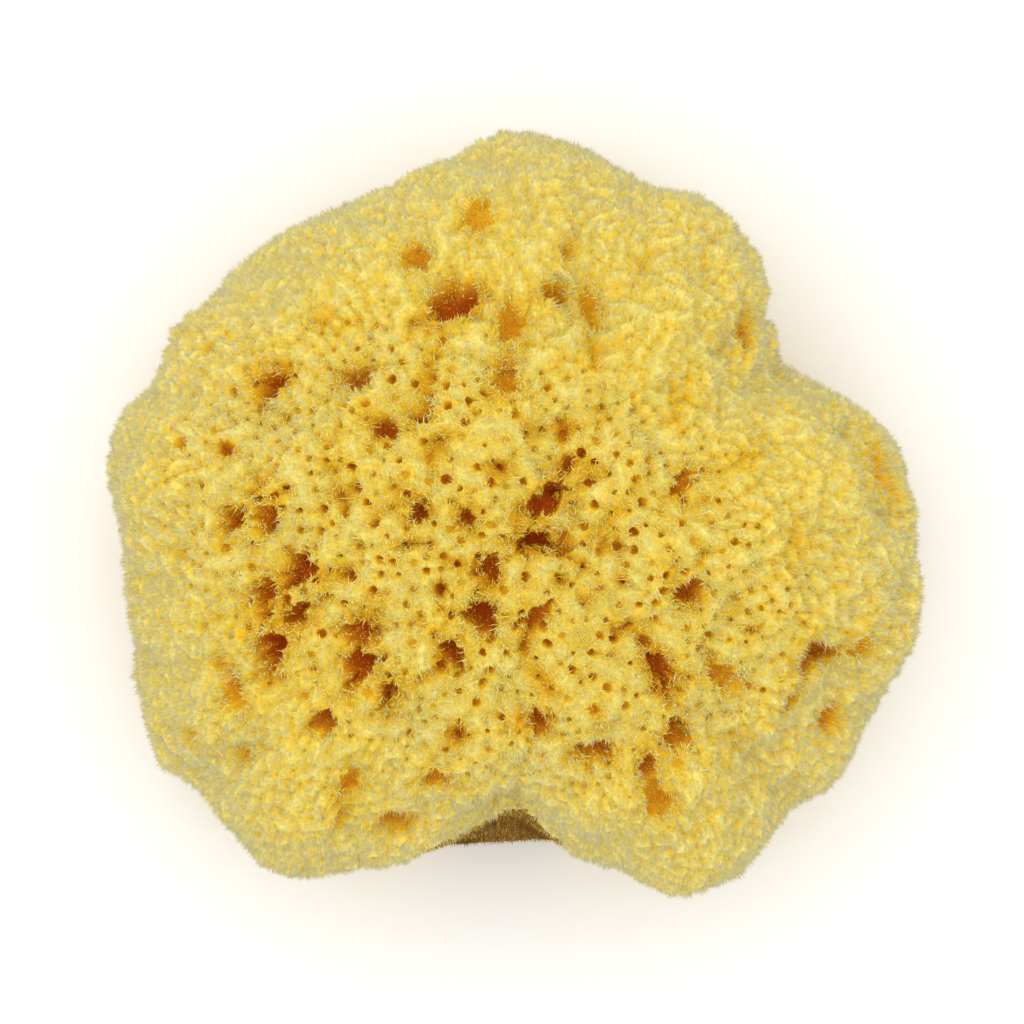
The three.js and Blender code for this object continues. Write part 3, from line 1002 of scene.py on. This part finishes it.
@dataclass
class Skin:
    """The sponge's body: the form, pored like a honeycomb, as one closed surface.

    A wave is a height, a wavelength and a shift, all in millimetres. The halo is the
    soft hollow round a mouth. How deep the skin lies also sets its colour, as painted
    light on the peaks and painted shade in the pores, mouths, halos and hollows.
    """

    form: Form
    mouths: Mouths
    dimples: Dimples
    pores: Pores
    inset: float
    pole_ring: int = 12
    pole_radius: float = 3.0
    mouth_step: float = 0.72
    open_enough: float = 0.25
    pit_least: float = 0.5
    pit_growth: float = 1.5
    pit_luck: Triple = (0.45, 1.1, 1.3)
    peak_height: float = 0.5
    peak_tufted: float = 0.15
    peak_growth: float = 0.2
    peak_room: float = 1.2
    peak_vary: float = 0.2
    choke: float = 8.0
    floor_fade: Pair = (0.1, 3.0)
    rough_waves: tuple[Triple, ...] = ((0.35, 5.0, 0.0), (0.25, 2.2, 40.0))
    wall_wave: Triple = (0.6, 1.1, -30.0)
    wall_rise: float = 3.0
    halo_wave: Triple = (1.1, 3.5, 11.0)
    halo_middle: float = 0.5
    halo_limits: Pair = (0.1, 1.2)
    halo_depth: float = 1.7
    halo_reach: float = 2.5
    hollow_wave: Triple = (1.0, 2.8, 23.0)
    hollow_depth: float = 2.0
    hollow_from: float = 0.12
    tuft_lean: float = 0.3
    tuft_relief: float = 0.45
    mouth_full: float = 6.0
    # The wedge of the notch's wall, which is painted dark as its shade and has no peaks.
    shaded_apex: Pair = (1.6, -47.4)
    shaded_slopes: Pair = (0.45, 1.0)
    shaded_soft: float = 0.8
    shaded_bell: Pair = (0.05, 0.2)
    shaded_levels: Pair = (9.0, 15.0)
    disc_radius: float = 0.49
    grain_seed: int = 3
    seed: int = 23
    finish: SkinFinish = SkinFinish()
    points: np.ndarray = field(init=False)
    faces: np.ndarray = field(init=False)
    pit: np.ndarray = field(init=False)
    depth: np.ndarray = field(init=False)
    ways_out: np.ndarray = field(init=False)
    first_peak: int = field(init=False)

    def build(self) -> bpy.types.Object:
        """Lays the points of pores, peaks and mouths, and joins them up.

        Returns:
            The body's object, dressed.
        """
        directions, lift = self.lay(np.random.default_rng(self.seed))
        faces = triangulate(directions)
        first = len(directions) - self.pole_ring
        ring = first + np.arange(self.pole_ring)
        bottom = np.full(self.pole_ring, len(directions))
        faces = np.vstack([faces, np.column_stack([np.roll(ring, -1), ring, bottom])])
        directions = np.vstack([directions, [0.0, 0.0, -1.0]])
        points, pit, sunk = self.place(directions, np.append(lift, 0.0))
        a, b, c = (points[column] for column in faces.T)
        if np.sum(a * np.cross(b, c)) < 0:
            faces = faces[:, ::-1]
        form_points = self.form.skin(directions, self.inset)
        self.points, self.faces, self.pit, self.depth = points, faces, pit, sunk
        self.ways_out = self.form.normals(directions, self.inset)
        # Faces on the notch's wall take a dark brown finish: painted shade under its lip.
        shaded = self.shaded(form_points)[faces].mean(axis=1) > 0.5
        piece = mesh_object("sponge_body", points, faces, shaded.astype(int))
        # The stored depth drives the skin's painted light and shade.
        store = piece.data.attributes.new("depth", "FLOAT", "POINT")
        store.data.foreach_set("value", sunk.astype(np.float32))
        self.lay_flat(piece.data, directions)
        piece.data.materials.append(self.finish.material())
        # The second finish is the dark brown painted shade of the notch's wall.
        piece.data.materials.append(Tint.BARK.value.material())
        return piece

    def lay(self, rng: np.random.Generator) -> tuple[np.ndarray, np.ndarray]:
        """The directions that the surface is joined up from, and each one's lift.

        Args:
            rng: the random source.

        Returns:
            Unit vectors, with the ring round the downward pole last, and heights.
        """
        pores, form = self.pores, self.form
        full = pores.openness > self.open_enough
        base = pores.points[:, 2] < -form.heart[2] + form.base_skin
        side = ~full & ~base
        least, spread, power = self.pit_luck
        depth = self.pit_least + self.pit_growth * pores.radius
        depth = depth * (least + spread * rng.random(len(full)) ** power)
        depth = depth * self.calm(pores.openness)
        laid: list[tuple[np.ndarray, np.ndarray]] = [(pores.directions, -depth)]
        for chosen, share, count, ragged, sunk in (
            (full, 0.72, 6, 0.12, 0.74),
            (full, 1.08, 8, 0.2, 0.0),
            (side, 1.1, 6, 0.2, 0.0),
            (base, 1.05, 7, 0.2, 0.0),
        ):
            ring = pores.ring(chosen, share, count, ragged, rng)
            laid.append((ring, -sunk * np.repeat(depth[chosen], count)))
        self.first_peak = sum(len(d) for d, _ in laid)
        laid.append((pores.peaks, self.peak_heights(rng)))
        ring_points = self.mouths.rings(self.mouth_step, rng)
        laid.append((unit(ring_points), np.zeros(len(ring_points))))
        turn = np.arange(self.pole_ring) * 2 * math.pi / self.pole_ring
        pole = np.column_stack(
            [
                self.pole_radius * np.cos(turn),
                self.pole_radius * np.sin(turn),
                np.full(self.pole_ring, -form.heart[2]),
            ]
        )
        laid.append((unit(pole), np.zeros(self.pole_ring)))
        return np.concatenate([d for d, _ in laid]), np.concatenate([h for _, h in laid])

    def lay_flat(self, mesh: bpy.types.Mesh, directions: np.ndarray) -> None:
        """Unrolls the surface onto a disc, where equal areas of sky stay equal.

        Each corner goes out from the middle by the root of half of one minus its z, and
        the corners at the downward pole go to the rim beside their own face.

        Args:
            mesh: the body's mesh.
            directions: the unit vector that each of its points was laid along.
        """
        corners = self.faces
        around = directions[corners]
        pole = around[..., 2] < -1.0 + 1e-9
        beside = around.sum(axis=1, keepdims=True) + np.zeros_like(around)
        flat = np.where(pole[..., None], beside, around)[..., :2]
        out = np.sqrt(np.maximum(1.0 - around[..., 2:3], 0.0) / 2.0)
        places = 0.5 + self.disc_radius * out * unit(flat)
        layer = mesh.uv_layers.new(name="OFBake")
        layer.data.foreach_set("uv", places.reshape(-1).astype(np.float32))

    def peak_heights(self, rng: np.random.Generator) -> np.ndarray:
        """How high each peak stands: higher where there is room, and where tufts grow.

        Args:
            rng: the random source.

        Returns:
            A height for each peak.
        """
        points = self.form.skin(self.pores.peaks, self.inset)
        openness = self.form.openness(points)
        height = self.peak_height + self.peak_tufted * (1.0 - openness)
        height = height + self.peak_growth * (self.pores.peak_room - self.peak_room)
        vary = self.peak_vary * (1.0 + openness)
        height = height * (1.0 + vary * (2.0 * rng.random(len(points)) - 1.0))
        return height * (1.0 - self.shaded(points))

    def calm(self, openness: np.ndarray) -> np.ndarray:
        """How much of the crown's relief is left: less where tufts cover it."""
        return self.tuft_relief + (1.0 - self.tuft_relief) * openness

    def place(
        self, directions: np.ndarray, lift: np.ndarray
    ) -> tuple[np.ndarray, np.ndarray, np.ndarray]:
        """Puts directions on the skin, lifts them, and sinks the mouths.

        Args:
            directions: unit vectors.
            lift: how far each stands above the skin, or below it where negative.

        Returns:
            Points, how deep each lies in a pore or a mouth, and how deep in all.
        """
        form = self.form
        flat = form.skin(directions, self.inset)
        normals = form.normals(directions, self.inset)
        openness = form.openness(flat)
        out, which = self.mouths.nearest(flat)
        fall = self.mouths.fall(out)
        low, high = self.floor_fade
        above = smoothstep(-form.heart[2] + low, -form.heart[2] + high, flat[:, 2])
        grain = Grain(self.grain_seed)
        rough = sum(grain.wave(flat, wave) for wave in self.rough_waves)
        rough = rough * self.calm(openness)
        wall = grain.wave(flat, self.wall_wave) * np.minimum(fall * self.wall_rise, 1.0)
        hollow = grain.wave(flat, self.hollow_wave) - self.hollow_from
        hollow = self.hollow_depth * openness * np.maximum(hollow, 0.0)
        halo = self.halo(flat, out, which, grain)
        soft = halo * above + np.maximum(self.dimples.sink(flat), hollow)
        sink = self.canal(self.mouths.depth[which]) * fall
        pit = sink - lift
        lift = lift + (rough + wall) * above - soft
        points = flat + normals * lift[:, None] + self.mouths.inward[which] * sink[:, None]
        peaks = slice(self.first_peak, self.first_peak + len(self.pores.peaks))
        away = unit(flat[peaks] * np.array([1.0, 1.0, 0.0]))
        away = away - normals[peaks] * np.sum(away * normals[peaks], axis=1, keepdims=True)
        points[peaks] += self.tuft_lean * (1.0 - openness[peaks])[:, None] * away
        points[:, 2] = np.maximum(points[:, 2], -form.heart[2])
        # The depth in all, with halos, dimples and hollows, sets the skin's painted shade.
        return points, pit, pit + soft

    def halo(
        self, flat: np.ndarray, out: np.ndarray, which: np.ndarray, grain: Grain
    ) -> np.ndarray:
        """How far the skin sinks round the mouths, in patches, less round shallow ones.

        Args:
            flat: places on the skin.
            out: how far out of its nearest mouth each lies.
            which: that mouth's number.
            grain: the noise that makes the patches.

        Returns:
            A depth for each place.
        """
        near = 1.0 - smoothstep(1.0, self.halo_reach, out)
        patchy = self.halo_middle + grain.wave(flat, self.halo_wave)
        patchy = np.clip(patchy, *self.halo_limits)
        deep = np.minimum(self.mouths.depth[which] / self.mouth_full, 1.0)
        return near * self.halo_depth * patchy * deep

    def canal(self, depth: np.ndarray) -> np.ndarray:
        """How far down a canal is seen: the deepest are choked with fibres."""
        return self.choke * (1.0 - np.exp(-depth / self.choke))

    def shaded(self, points: np.ndarray) -> np.ndarray:
        """The notch's wall, painted dark as its shade: 1 below the lip and in a wedge, else
        0.

        The wedge opens outwards from its apex, with an edge of its own slope each side.

        Args:
            points: places on the skin.

        Returns:
            A share for each point.
        """
        aside, out = points[:, 0] - self.shaded_apex[0], self.shaded_apex[1] - points[:, 1]
        slope = np.where(aside < 0, *self.shaded_slopes)
        within = smoothstep(-self.shaded_soft, self.shaded_soft, out - slope * np.abs(aside))
        under = 1.0 - smoothstep(*self.shaded_levels, points[:, 2])
        near = smoothstep(*self.shaded_bell, self.form.notch.bell(points))
        return near * within * under


@dataclass
class Strands:
    """Fibres as bent spikes with three sides, thick at the root and sharp at the tip."""

    roots: np.ndarray
    aims: np.ndarray
    sways: np.ndarray
    lengths: np.ndarray
    girths: np.ndarray
    facing: np.ndarray
    heights: np.ndarray
    stations: int
    taper: float = 0.8

    def mesh(self, rng: np.random.Generator) -> tuple[np.ndarray, np.ndarray, np.ndarray]:
        """Carries a three-cornered section along each fibre's path.

        The path is the root, plus the length times (aim t + sway t squared), for t from
        0 to 1. The section shrinks as one minus t to the power of the taper, to a point.

        Args:
            rng: the random source, for how each section is turned.

        Returns:
            Points, triangles, and for each triangle how far up its fibre it is.
        """
        count, corners = len(self.roots), 3
        t = np.linspace(0.0, 1.0, self.stations + 1)[:, None, None]
        scale = self.lengths[:, None]
        path = self.roots + scale * (self.aims * t + self.sways * t * t)
        heading = unit(self.aims + 2.0 * self.sways * t)
        side = unit(rng.normal(size=(count, 3)))
        first = unit(np.cross(heading, side))
        second = np.cross(heading, first)
        girth = self.girths[:, None] * (1.0 - t[:-1]) ** self.taper
        turn = np.arange(corners) * 2 * math.pi / corners
        rings = [
            path[:-1] + girth * (first[:-1] * math.cos(a) + second[:-1] * math.sin(a))
            for a in turn
        ]
        body = np.stack(rings, axis=2)
        body = body.transpose(1, 0, 2, 3).reshape(count, -1, 3)
        points = np.concatenate([body, path[-1][:, None]], axis=1)
        each = points.shape[1]
        tris, level = [[0, 2, 1]], [0.0]
        for station in range(self.stations - 1):
            for k in range(corners):
                a = station * corners + k
                b = station * corners + (k + 1) % corners
                tris += [[a, b, b + corners], [a, b + corners, a + corners]]
                level += [station / self.stations] * 2
        last = (self.stations - 1) * corners
        for k in range(corners):
            tris.append([last + k, last + (k + 1) % corners, each - 1])
            level.append((self.stations - 1) / self.stations)
        faces = np.array(tris)[None] + (np.arange(count) * each)[:, None, None]
        return points.reshape(-1, 3), faces.reshape(-1, 3), np.tile(level, count)


class Zone(Enum):
    """The parts of the surface, each with a nap of its own."""

    CROWN = "crown"
    RIMS = "rims of the mouths"
    WALLS = "walls of the mouths"
    NOTCH = "bare wall of the notch"
    UPPER_SHOULDER = "upper shoulder"
    LOWER_SHOULDER = "lower shoulder"
    FLANK = "flank"


@dataclass(frozen=True)
class Coat:
    """A coat of fibres over one zone of the skin, dressed in the fibres' tints.

    Lengths, girths, depths and levels are millimetres. A fibre leans aside by up to the
    lean, away from the heart by the comb, and turns towards its tuft's peak by the
    gather. Pale and golden are the shares of fibres a tint lighter and a tint darker,
    as painted light on the highest tips and painted shade on the lowest, and blur is
    how loosely that follows their tips' heights.
    """

    name: str
    zone: Zone
    count: int
    length: Pair
    lean: float
    girth: Pair = (0.065, 0.1)
    curl: float = 0.0
    stations: int = 1
    comb: float = 0.0
    gather: float = 0.0
    shallowest: float = -9.0
    deepest: float = 0.9
    full_share: float = 0.3
    thinning: float = 0.65
    thin_depths: Pair = (0.6, 2.4)
    # Paler fibres are painted light on the highest tips, golden ones painted shade on the
    # lowest.
    pale: float = 0.4
    golden: float = 0.3
    blur: float = 0.3
    upturn: float = 0.6
    stray: float = 0.45
    rooted: float = 0.12
    tip_reach: float = 1.1
    fade: Pair = (-14.0, 3.0)
    # Below these heights more and more strands turn a tint paler: painted rim light.
    rim_light: Pair = (14.0, 40.0)
    border_wave: Triple = (0.22, 4.0, 0.0)
    border_shift: float = 6.0
    crown_edge: float = 0.4
    rim_band: Pair = (0.98, 1.5)
    wall_edge: float = 1.02
    floor_gap: float = 0.6
    tints: tuple[Tint, ...] = (Tint.MIST, Tint.OAT, Tint.STRAW, Tint.HONEY)
    border_seed: int = 7
    seed: int = 31

    def build(self, skin: Skin) -> bpy.types.Object:
        """Grows the strands, and deals out the tints: paler towards the tips, as painted
        light.

        Low on the shoulders, more and more strands are a tint paler, as painted rim light
        towards the outline. On fibres of more than one part, all but the tip part take a
        tint darker, as painted shade at the roots.

        Args:
            skin: the body that they stand on.

        Returns:
            The object, dressed.
        """
        rng = np.random.default_rng(self.seed)
        strands = self.grow(skin, rng)
        points, faces, level = strands.mesh(rng)
        # The tints follow the tips' heights: painted light high up, painted shade low down.
        heights = strands.heights + rng.normal(0.0, self.blur, self.count)
        rank = np.argsort(np.argsort(heights)) / self.count
        shade = np.where(rank > 1.0 - self.pale, 1, np.where(rank < self.golden, 3, 2))
        # Lower down, more strands turn a tint paler: painted rim light towards the outline.
        shade -= rng.random(self.count) > smoothstep(*self.rim_light, strands.roots[:, 2])
        # All but the tip part of a fibre take a tint darker: painted shade at the roots.
        lower = level < level.max() - 1e-6
        slots = np.minimum(np.repeat(shade, len(faces) // self.count) + lower, 3)
        facing = np.repeat(strands.facing, len(points) // self.count, axis=0)
        piece = mesh_object(self.name, points, faces, slots, facing)
        for tint in self.tints:
            made = bpy.data.materials.get(tint.value.name) or tint.value.material()
            piece.data.materials.append(made)
        return piece

    def covers(self, skin: Skin, spots: np.ndarray) -> np.ndarray:
        """How fully the coat's zone takes in spots, from 0 to 1, with ragged borders.

        The shoulders' coats thin out down the flank, where the flank's own takes over.

        Args:
            skin: the body.
            spots: places on it.

        Returns:
            A share for each spot.
        """
        ragged = Grain(self.border_seed).wave(spots, self.border_wave)
        if self.zone is Zone.NOTCH:
            return skin.shaded(spots) + ragged > 0.5
        if self.zone in (Zone.RIMS, Zone.WALLS):
            out, which = skin.mouths.nearest(spots)
            known = which < len(skin.mouths.crown)
            if self.zone is Zone.RIMS:
                inner, outer = self.rim_band
                return known & (out > inner) & (out < outer)
            return known & (out < self.wall_edge)
        crown = skin.form.openness(spots) + ragged > self.crown_edge
        if self.zone is Zone.CROWN:
            return crown
        tufted = (skin.shaded(spots) + ragged < 0.5) & ~crown
        high = smoothstep(*self.fade, spots[:, 2] + self.border_shift * ragged)
        if self.zone is Zone.FLANK:
            off_floor = spots[:, 2] > self.floor_gap - skin.form.heart[2]
            return (1.0 - high) * (tufted & off_floor)
        upper = spots[:, 1] + self.border_shift * ragged > 0.0
        return high * (tufted & (upper == (self.zone is Zone.UPPER_SHOULDER)))

    def grow(self, skin: Skin, rng: np.random.Generator) -> Strands:
        """Sows the fibres' roots, aims a fibre out of each and bends it.

        Args:
            skin: the body that they stand on.
            rng: the random source.

        Returns:
            The strands.
        """
        chosen, roots = self.sow(skin, rng)
        outward = skin.ways_out[skin.faces[chosen, 0]]
        aims = self.aim(skin, chosen, roots, outward, rng)
        sways = self.curl * unit(rng.normal(size=(self.count, 3)))
        stray = self.stray * unit(rng.normal(size=(self.count, 3)))
        lengths = rng.uniform(*self.length, self.count)
        near_floor = roots[:, 2] < lengths - skin.form.heart[2]
        aims[:, 2] = np.where(near_floor, np.abs(aims[:, 2]), aims[:, 2])
        deep = skin.depth[skin.faces[chosen]].mean(axis=1)
        return Strands(
            roots=roots - self.rooted * outward,
            aims=aims,
            sways=sways * rng.random((self.count, 1)),
            lengths=lengths,
            girths=rng.uniform(*self.girth, self.count),
            facing=unit(outward + self.upturn * np.array([0.0, 0.0, 1.0]) + stray),
            heights=lengths * np.sum(aims * outward, axis=1) - deep,
            stations=self.stations,
        )

    def sow(self, skin: Skin, rng: np.random.Generator) -> tuple[np.ndarray, np.ndarray]:
        """Sows roots evenly over the zone, fewer in its pits and hollows.

        A root is a random point of a random triangle, drawn by area.

        Args:
            skin: the body that they stand on.
            rng: the random source.

        Returns:
            The triangle of each root, and the roots.
        """
        a, b, c = (skin.points[column] for column in skin.faces.T)
        middle = (a + b + c) / 3.0
        deep = skin.depth[skin.faces].mean(axis=1)
        pit = skin.pit[skin.faces].mean(axis=1)
        shallow = 1.0 - smoothstep(self.full_share * self.deepest, self.deepest, pit)
        shallow = shallow * (pit > self.shallowest)
        shallow = shallow * (1.0 - self.thinning * smoothstep(*self.thin_depths, deep - pit))
        area = np.linalg.norm(np.cross(b - a, c - a), axis=1)
        total = np.cumsum(area * shallow * self.covers(skin, middle))
        chosen = np.searchsorted(total, rng.random(self.count) * total[-1])
        one, two = np.sqrt(rng.random((self.count, 1))), rng.random((self.count, 1))
        a, b, c = a[chosen], b[chosen], c[chosen]
        return chosen, a * (1 - one) + one * (b * (1 - two) + c * two)

    def aim(
        self,
        skin: Skin,
        chosen: np.ndarray,
        roots: np.ndarray,
        outward: np.ndarray,
        rng: np.random.Generator,
    ) -> np.ndarray:
        """The way each fibre sets out.

        It is the form's way out, plus a share of a random direction across and of the
        way from the heart, and then a share of the way to just past the nearest peak.

        Args:
            skin: the body that they stand on.
            chosen: the triangle of each root.
            roots: the roots.
            outward: the form's way out at each.
            rng: the random source.

        Returns:
            Unit vectors.
        """
        first, second = tangents(outward)
        angle = rng.uniform(0, 2 * math.pi, (self.count, 1))
        across = first * np.cos(angle) + second * np.sin(angle)
        aims = outward + self.lean * rng.random((self.count, 1)) * across
        away = unit(roots * np.array([1.0, 1.0, 0.0]) + 1e-6)
        aims = unit(aims + self.comb * away)
        last_peak = skin.first_peak + len(skin.pores.peaks)
        corners = skin.faces[chosen]
        is_peak = (corners >= skin.first_peak) & (corners < last_peak)
        peak = np.take_along_axis(corners, is_peak.argmax(axis=1)[:, None], axis=1)[:, 0]
        reach = self.length[1] * self.tip_reach
        to_tip = unit(skin.points[peak] + reach * unit(outward + self.comb * away) - roots)
        share = self.gather * is_peak.any(axis=1, keepdims=True)
        return unit(aims * (1.0 - share) + to_tip * share)


def coats() -> tuple[Coat, ...]:
    """The coats of fibre, from the mouths out to the flanks."""
    open_tints = (Tint.MIST, Tint.CREAM, Tint.STRAW, Tint.HONEY)
    # These tints paint the shade on the notch's wall.
    notch_shade_tints = (Tint.UMBER, Tint.UMBER, Tint.BARK, Tint.BARK)
    curly = {"length": (0.7, 1.3), "girth": (0.1, 0.14), "curl": 0.9, "stations": 2}
    shoulder = {
        "count": 49900, "length": (0.8, 1.4), "lean": 1.1, "comb": 0.4, "gather": 0.35,
        "golden": 0.12, "pale": 0.5, "blur": 1.0,
    }
    return (
        Coat("rim_curls", Zone.RIMS, 5000, lean=1.1, deepest=2.0, thinning=0.2,
             pale=0.9, golden=0.0, tints=open_tints, **curly),
        # The walls' nap is all golden: painted shade down the mouths.
        Coat("wall_nap", Zone.WALLS, 6000, (0.4, 0.9), lean=1.0, shallowest=0.6,
             deepest=7.0, thinning=0.0, pale=0.0, golden=1.0, upturn=1.5),
        Coat("notch_nap", Zone.NOTCH, 3000, (0.5, 1.0), lean=1.0, deepest=20.0,
             pale=0.0, golden=0.45, tints=notch_shade_tints),
        Coat("crown_curls", Zone.CROWN, 10000, lean=2.0, deepest=0.6, pale=0.8,
             golden=0.0, tints=open_tints, **curly),
        Coat("crown_nap", Zone.CROWN, 49900, (0.5, 0.95), lean=1.6, gather=0.5,
             deepest=0.6, golden=0.2, pale=0.55, blur=0.6, tints=open_tints),
        Coat("upper_nap", Zone.UPPER_SHOULDER, **shoulder),
        Coat("lower_nap", Zone.LOWER_SHOULDER, **shoulder),
        Coat("flank_nap", Zone.FLANK, 23000, (1.0, 1.7), lean=1.0, gather=0.2,
             golden=0.2, pale=0.5, blur=0.8),
    )


@dataclass
class Studio:
    """The floor, the lights and the camera, which looks straight down on the crown.

    Its sizes and places are metres.
    """

    floor_side: float = 6.0
    floor_tint: tuple[int, int, int] = (253, 253, 253)
    eye_height: float = 0.683
    frame_width: float = 0.16384
    below_centre: float = 0.00112
    sensor: float = 36.0
    world_strength: float = 0.97
    key_place: Triple = (-0.08, 0.12, 0.9)
    key_size: float = 0.9
    key_power: float = 2.6
    lens_far: float = 20.0

    def floor(self) -> bpy.types.Object:
        """A plain pale floor at the cut base."""
        half = self.floor_side / 2
        corners = [(-half, -half, 0), (half, -half, 0), (half, half, 0), (-half, half, 0)]
        mesh = bpy.data.meshes.new("floor")
        mesh.from_pydata(corners, [], [(0, 1, 2, 3)])
        piece = bpy.data.objects.new("floor", mesh)
        bpy.context.scene.collection.objects.link(piece)
        mesh.materials.append(PlainFinish("floor_pale", self.floor_tint).material())
        return piece

    def lights(self) -> None:
        """A white sky and one large soft light, towards the top of the picture."""
        scene = bpy.context.scene
        world = bpy.data.worlds.new("studio_sky")
        world.use_nodes = True
        sky = world.node_tree.nodes["Background"]
        sky.inputs["Color"].default_value = (1.0, 1.0, 1.0, 1.0)
        sky.inputs["Strength"].default_value = self.world_strength
        scene.world = world
        lamp = bpy.data.lights.new("key", "AREA")
        lamp.size = self.key_size
        lamp.energy = self.key_power
        key = bpy.data.objects.new("key", lamp)
        key.location = self.key_place
        key.rotation_euler = (-Vector(self.key_place)).to_track_quat("-Z", "Y").to_euler()
        scene.collection.objects.link(key)

    def camera(self, form: Form) -> None:
        """A long lens straight above the heart, framed as the photograph is.

        Args:
            form: the lump, for its heart's place.
        """
        scene = bpy.context.scene
        lens = bpy.data.cameras.new("camera")
        lens.sensor_width = self.sensor
        lens.lens = self.sensor * self.eye_height / self.frame_width
        lens.clip_end = self.lens_far
        eye = bpy.data.objects.new("camera", lens)
        x, y, z = (value * MM for value in form.heart)
        eye.location = (x, y - self.below_centre, z + self.eye_height)
        scene.collection.objects.link(eye)
        scene.camera = eye
        scene.view_settings.view_transform = "Standard"


def settle(piece: bpy.types.Object) -> None:
    """Hangs a piece on the root body, hides the imported solid and logs its triangles.

    Args:
        piece: the piece's object.
    """
    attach(piece, "root")
    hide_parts("sponge")
    log.info("%s: %d triangles", piece.name, len(piece.data.polygons))


def main() -> None:
    """Builds the sponge from its skin outwards, then the studio round it."""
    logging.basicConfig(level=logging.INFO, format="%(message)s")
    inset = 1.25
    form = Form()
    mouths = Mouths(form)
    pores = Pores(form, mouths, inset)
    log.info("%d pores, %d peaks", len(pores.directions), len(pores.peaks))
    skin = Skin(form, mouths, Dimples(form), pores, inset)
    settle(skin.build())
    for coat in coats():
        settle(coat.build(skin))
    studio = Studio()
    studio.floor()
    studio.lights()
    studio.camera(form)


if __name__ == "__main__":
    main()
